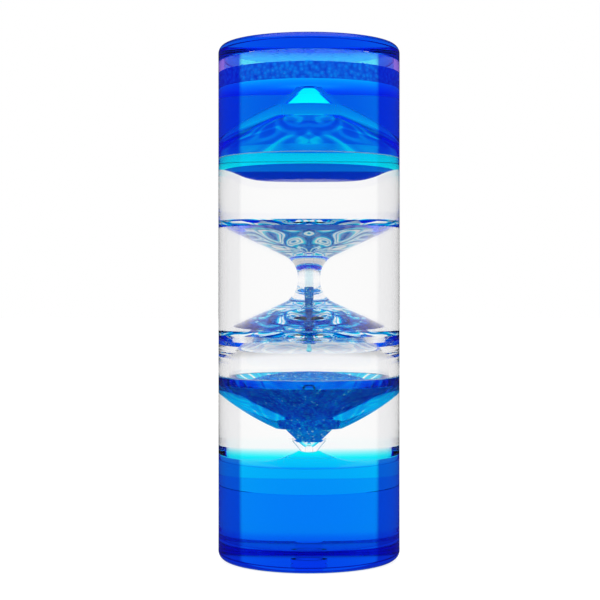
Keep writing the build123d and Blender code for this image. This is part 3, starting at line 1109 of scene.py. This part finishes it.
def loose_grains():
    """Small hexagonal grains lying at all angles on the heap's top."""
    draw = random.Random(GRAIN_SEED)
    radius = (HEAP_RIM**2 + HEAP_RISE**2) / (2 * HEAP_RISE)
    angles = [TURN * k / GRAIN_SIDES for k in range(GRAIN_SIDES)]
    build = bmesh.new()
    for _ in range(GRAINS):
        reach = (HEAP_RIM - GRAIN_MARGIN) * math.sqrt(draw.random())
        turn = draw.uniform(0, TURN)
        level = HEAP_PEAK - radius + math.sqrt(radius**2 - reach**2)
        centre = Vector((reach * math.cos(turn), reach * math.sin(turn), level + GRAIN_RISE)) * MM
        lean = Vector((draw.gauss(0, GRAIN_LEAN), draw.gauss(0, GRAIN_LEAN), 1)).normalized()
        one = lean.orthogonal().normalized() * GRAIN_RADIUS * MM
        two = lean.cross(one)
        corners = [centre + one * math.cos(a) + two * math.sin(a) for a in angles]
        build.faces.new([build.verts.new(corner) for corner in corners])
    mesh = bpy.data.meshes.new("loose_grains")
    build.to_mesh(mesh)
    build.free()
    mesh.materials.append(grain_foil)
    return add_piece("loose_grains", mesh, "glitter")


# What stands in and under the bore, and the drops in the nozzles

def thread():
    """Clear blue thread of liquid in the bore, over the glitter."""
    bore = NECK_BORE - SKIN
    head = THREAD_TOP - SKIN
    return lathe(
        "liquid_thread", "bright_blue_liquid", ["neck_thread"],
        (thread_blue, [(0, THREAD_FOOT), (bore, THREAD_FOOT), (bore, head), (0, head)]),
    )


def bore_glitter():
    """Glitter packed in the bore and in its mouth."""
    bore, mouth = NECK_BORE - SKIN, MOUTH_RADIUS - SKIN
    outlet = NECK - MOUTH
    return lathe(
        "glitter_in_bore", "glitter", ["neck_glitter"],
        (glitter, [(0, THREAD_FOOT - SKIN), (bore, THREAD_FOOT - SKIN), (bore, outlet + MOUTH_DEPTH)]),
        (glitter, [(mouth, outlet), (0, outlet)]),
    )


def hanging_drop():
    """Round drop on a strand that widens towards it."""
    top = corner_high("outlet_drop").z - SKIN
    radius = corner_high("outlet_drop").x
    middle = corner_low("outlet_drop").z + radius
    angles = shares_of(math.pi / 2)
    return lathe(
        "drop_under_bore", "bright_blue_liquid", ["outlet_drop"],
        (drop_blue, [(0, top), (STRAND_RADIUS, top)]),
        (drop_blue, [(radius * math.cos(a), middle - radius * math.sin(a)) for a in angles[:-1]]),
        (drop_blue, [(0, middle - radius)]),
    )


def round_drop(name, node, slot, skin, height):
    """Ball of liquid on the axis."""
    radius = corner_high(node).x - SKIN
    angles = shares_of(math.pi, 2 * ARC_STEPS)
    inner = [(radius * math.sin(a), height - radius * math.cos(a)) for a in angles[1:-1]]
    return lathe(name, slot, [node], (skin, [(0, height - radius), *inner, (0, height + radius)]))


# The pieces

outer_tube()
cup()
plug()
lid()
bond_ring("bottom_bond", "bottom_glue_ring", bonded, BORE, OUTER, CUP_RIM + SKIN, TUBE_FOOT - SKIN)
bond_ring("top_bond", "top_glue_ring", bonded, BORE, OUTER, TUBE_HEAD + SKIN, CEILING - SKIN)
for half in (UPPER, LOWER):
    seam_bond(half)
funnel(UPPER, in_bulb, bulb_floor)
funnel(LOWER, in_air, bulb_ceiling)
dome(UPPER, in_blue, dome_in_blue, in_blue)
dome(LOWER, dome_in_clear, in_clear, in_air)
nozzle(UPPER, in_blue, in_blue)
nozzle(LOWER, in_clear, in_clear)
upper_bulb_liquid()
upper_bulb_blue()
upper_blue_liquid()
lower_blue_liquid()
lower_clear_liquid()
froth()
painted_glow_in_nozzle()
bubbles()
heap()
loose_grains()
thread()
bore_glitter()
hanging_drop()
round_drop("drop_in_upper_nozzle", "rising_drop", "clear_liquid", drop_clear, RISING_DROP)
round_drop("drop_in_lower_nozzle", "falling_drop", "bright_blue_liquid", drop_blue, FALLING_DROP)


# Stage

BOUNCES = 64
MIRROR_BOUNCES = 32
CAMERA_DISTANCE = 405.0
CAMERA_HEIGHT = 74.7
FOCAL_PIXELS = 1465.0
FRAME_PIXELS = 600.0
AXIS_PIXEL = 309.0
HORIZON_PIXEL = 287.0
SENSOR = 36.0


def add_camera():
    """Level camera, whose picture is shifted instead of tilted."""
    camera = bpy.data.cameras.new("camera")
    holder = bpy.data.objects.new("camera", camera)
    bpy.context.scene.collection.objects.link(holder)
    holder.location = (0, -CAMERA_DISTANCE * MM, CAMERA_HEIGHT * MM)
    holder.rotation_euler = (math.pi / 2, 0, 0)
    camera.sensor_width = SENSOR
    camera.lens = SENSOR * FOCAL_PIXELS / FRAME_PIXELS
    camera.shift_x = (FRAME_PIXELS / 2 - AXIS_PIXEL) / FRAME_PIXELS
    camera.shift_y = (HORIZON_PIXEL - FRAME_PIXELS / 2) / FRAME_PIXELS
    bpy.context.scene.camera = holder


# The room is white all round. What shows through the glass is darker overhead and underfoot, what the
# glass mirrors is nearly black but for a soft box overhead, and solid pieces get more light from above.
HORIZON_LEVEL = 1.0
STEEP_UP_LEVEL = 0.6
STEEP_DOWN_LEVEL = 0.7
STEEP_START = math.sin(math.radians(14))
STEEP_END = math.sin(math.radians(32))
MIRROR_LEVEL = 0.03
SOFT_BOX_LEVEL = 0.9
OVERHEAD_LEVEL = 3.0
SOFT_BOX_START = math.sin(math.radians(50))
SOFT_BOX_END = math.sin(math.radians(62))


def add_world():
    """Light of the room, by where a ray goes and what sent it."""
    world = bpy.data.worlds.new("studio")
    bpy.context.scene.world = world
    world.use_nodes = True
    tree = world.node_tree
    back = tree.nodes["Background"]
    back.inputs["Color"].default_value = (1, 1, 1, 1)
    path = tree.nodes.new("ShaderNodeLightPath")
    height = parts_of(tree, "ShaderNodeTexCoord", "Generated")["Z"]
    mirrored = ramp(tree, height, SOFT_BOX_START, SOFT_BOX_END, MIRROR_LEVEL, SOFT_BOX_LEVEL)
    above = ramp(tree, height, STEEP_START, STEEP_END, HORIZON_LEVEL, STEEP_UP_LEVEL)
    below = ramp(tree, height, -STEEP_END, -STEEP_START, STEEP_DOWN_LEVEL, HORIZON_LEVEL)
    through = arithmetic(tree, "MINIMUM", above, below)
    level = pick(tree, path.outputs["Is Transmission Ray"], mirrored, through)
    overhead = ramp(tree, height, 0, SOFT_BOX_START, HORIZON_LEVEL, OVERHEAD_LEVEL)
    level = pick(tree, path.outputs["Diffuse Depth"], level, overhead)
    level = pick(tree, path.outputs["Is Camera Ray"], level, HORIZON_LEVEL)
    tree.links.new(level, back.inputs["Strength"])


# The floor lies a hair below the timer, so that no two faces share a plane
FLOOR_REACH = 3000.0
FLOOR_GAP = 0.02
SHADOW_SHARE = 0.25


def floor_material():
    """White with a faint shadow; glass shows it as white, and mirrors next to nothing of it."""
    material, tree, output = empty_material("white_floor")
    lit = tree.nodes.new("ShaderNodeBsdfDiffuse")
    lit.inputs["Color"].default_value = (1, 1, 1, 1)
    plain = tree.nodes.new("ShaderNodeEmission")
    path = tree.nodes.new("ShaderNodeLightPath")
    level = pick(tree, path.outputs["Is Transmission Ray"], MIRROR_LEVEL, HORIZON_LEVEL)
    level = pick(tree, path.outputs["Is Glossy Ray"], HORIZON_LEVEL, level)
    tree.links.new(level, plain.inputs["Strength"])
    share = pick(tree, path.outputs["Is Camera Ray"], 0, SHADOW_SHARE)
    tree.links.new(blend(tree, share, plain, lit), output.inputs["Surface"])
    return material


def add_floor():
    """Plain white floor under the timer."""
    mesh = bpy.data.meshes.new("floor")
    signs = ((-1, -1), (1, -1), (1, 1), (-1, 1))
    corners = [Vector((x * FLOOR_REACH, y * FLOOR_REACH, -FLOOR_GAP)) * MM for x, y in signs]
    mesh.from_pydata(corners, [], [(0, 1, 2, 3)])
    mesh.materials.append(floor_material())
    floor = bpy.data.objects.new("floor", mesh)
    bpy.context.scene.collection.objects.link(floor)


add_floor()
add_camera()
add_world()
bpy.context.scene.view_settings.view_transform = "Standard"
cycles = bpy.context.scene.cycles
cycles.max_bounces = BOUNCES
cycles.transmission_bounces = BOUNCES
cycles.transparent_max_bounces = BOUNCES
cycles.glossy_bounces = MIRROR_BOUNCES
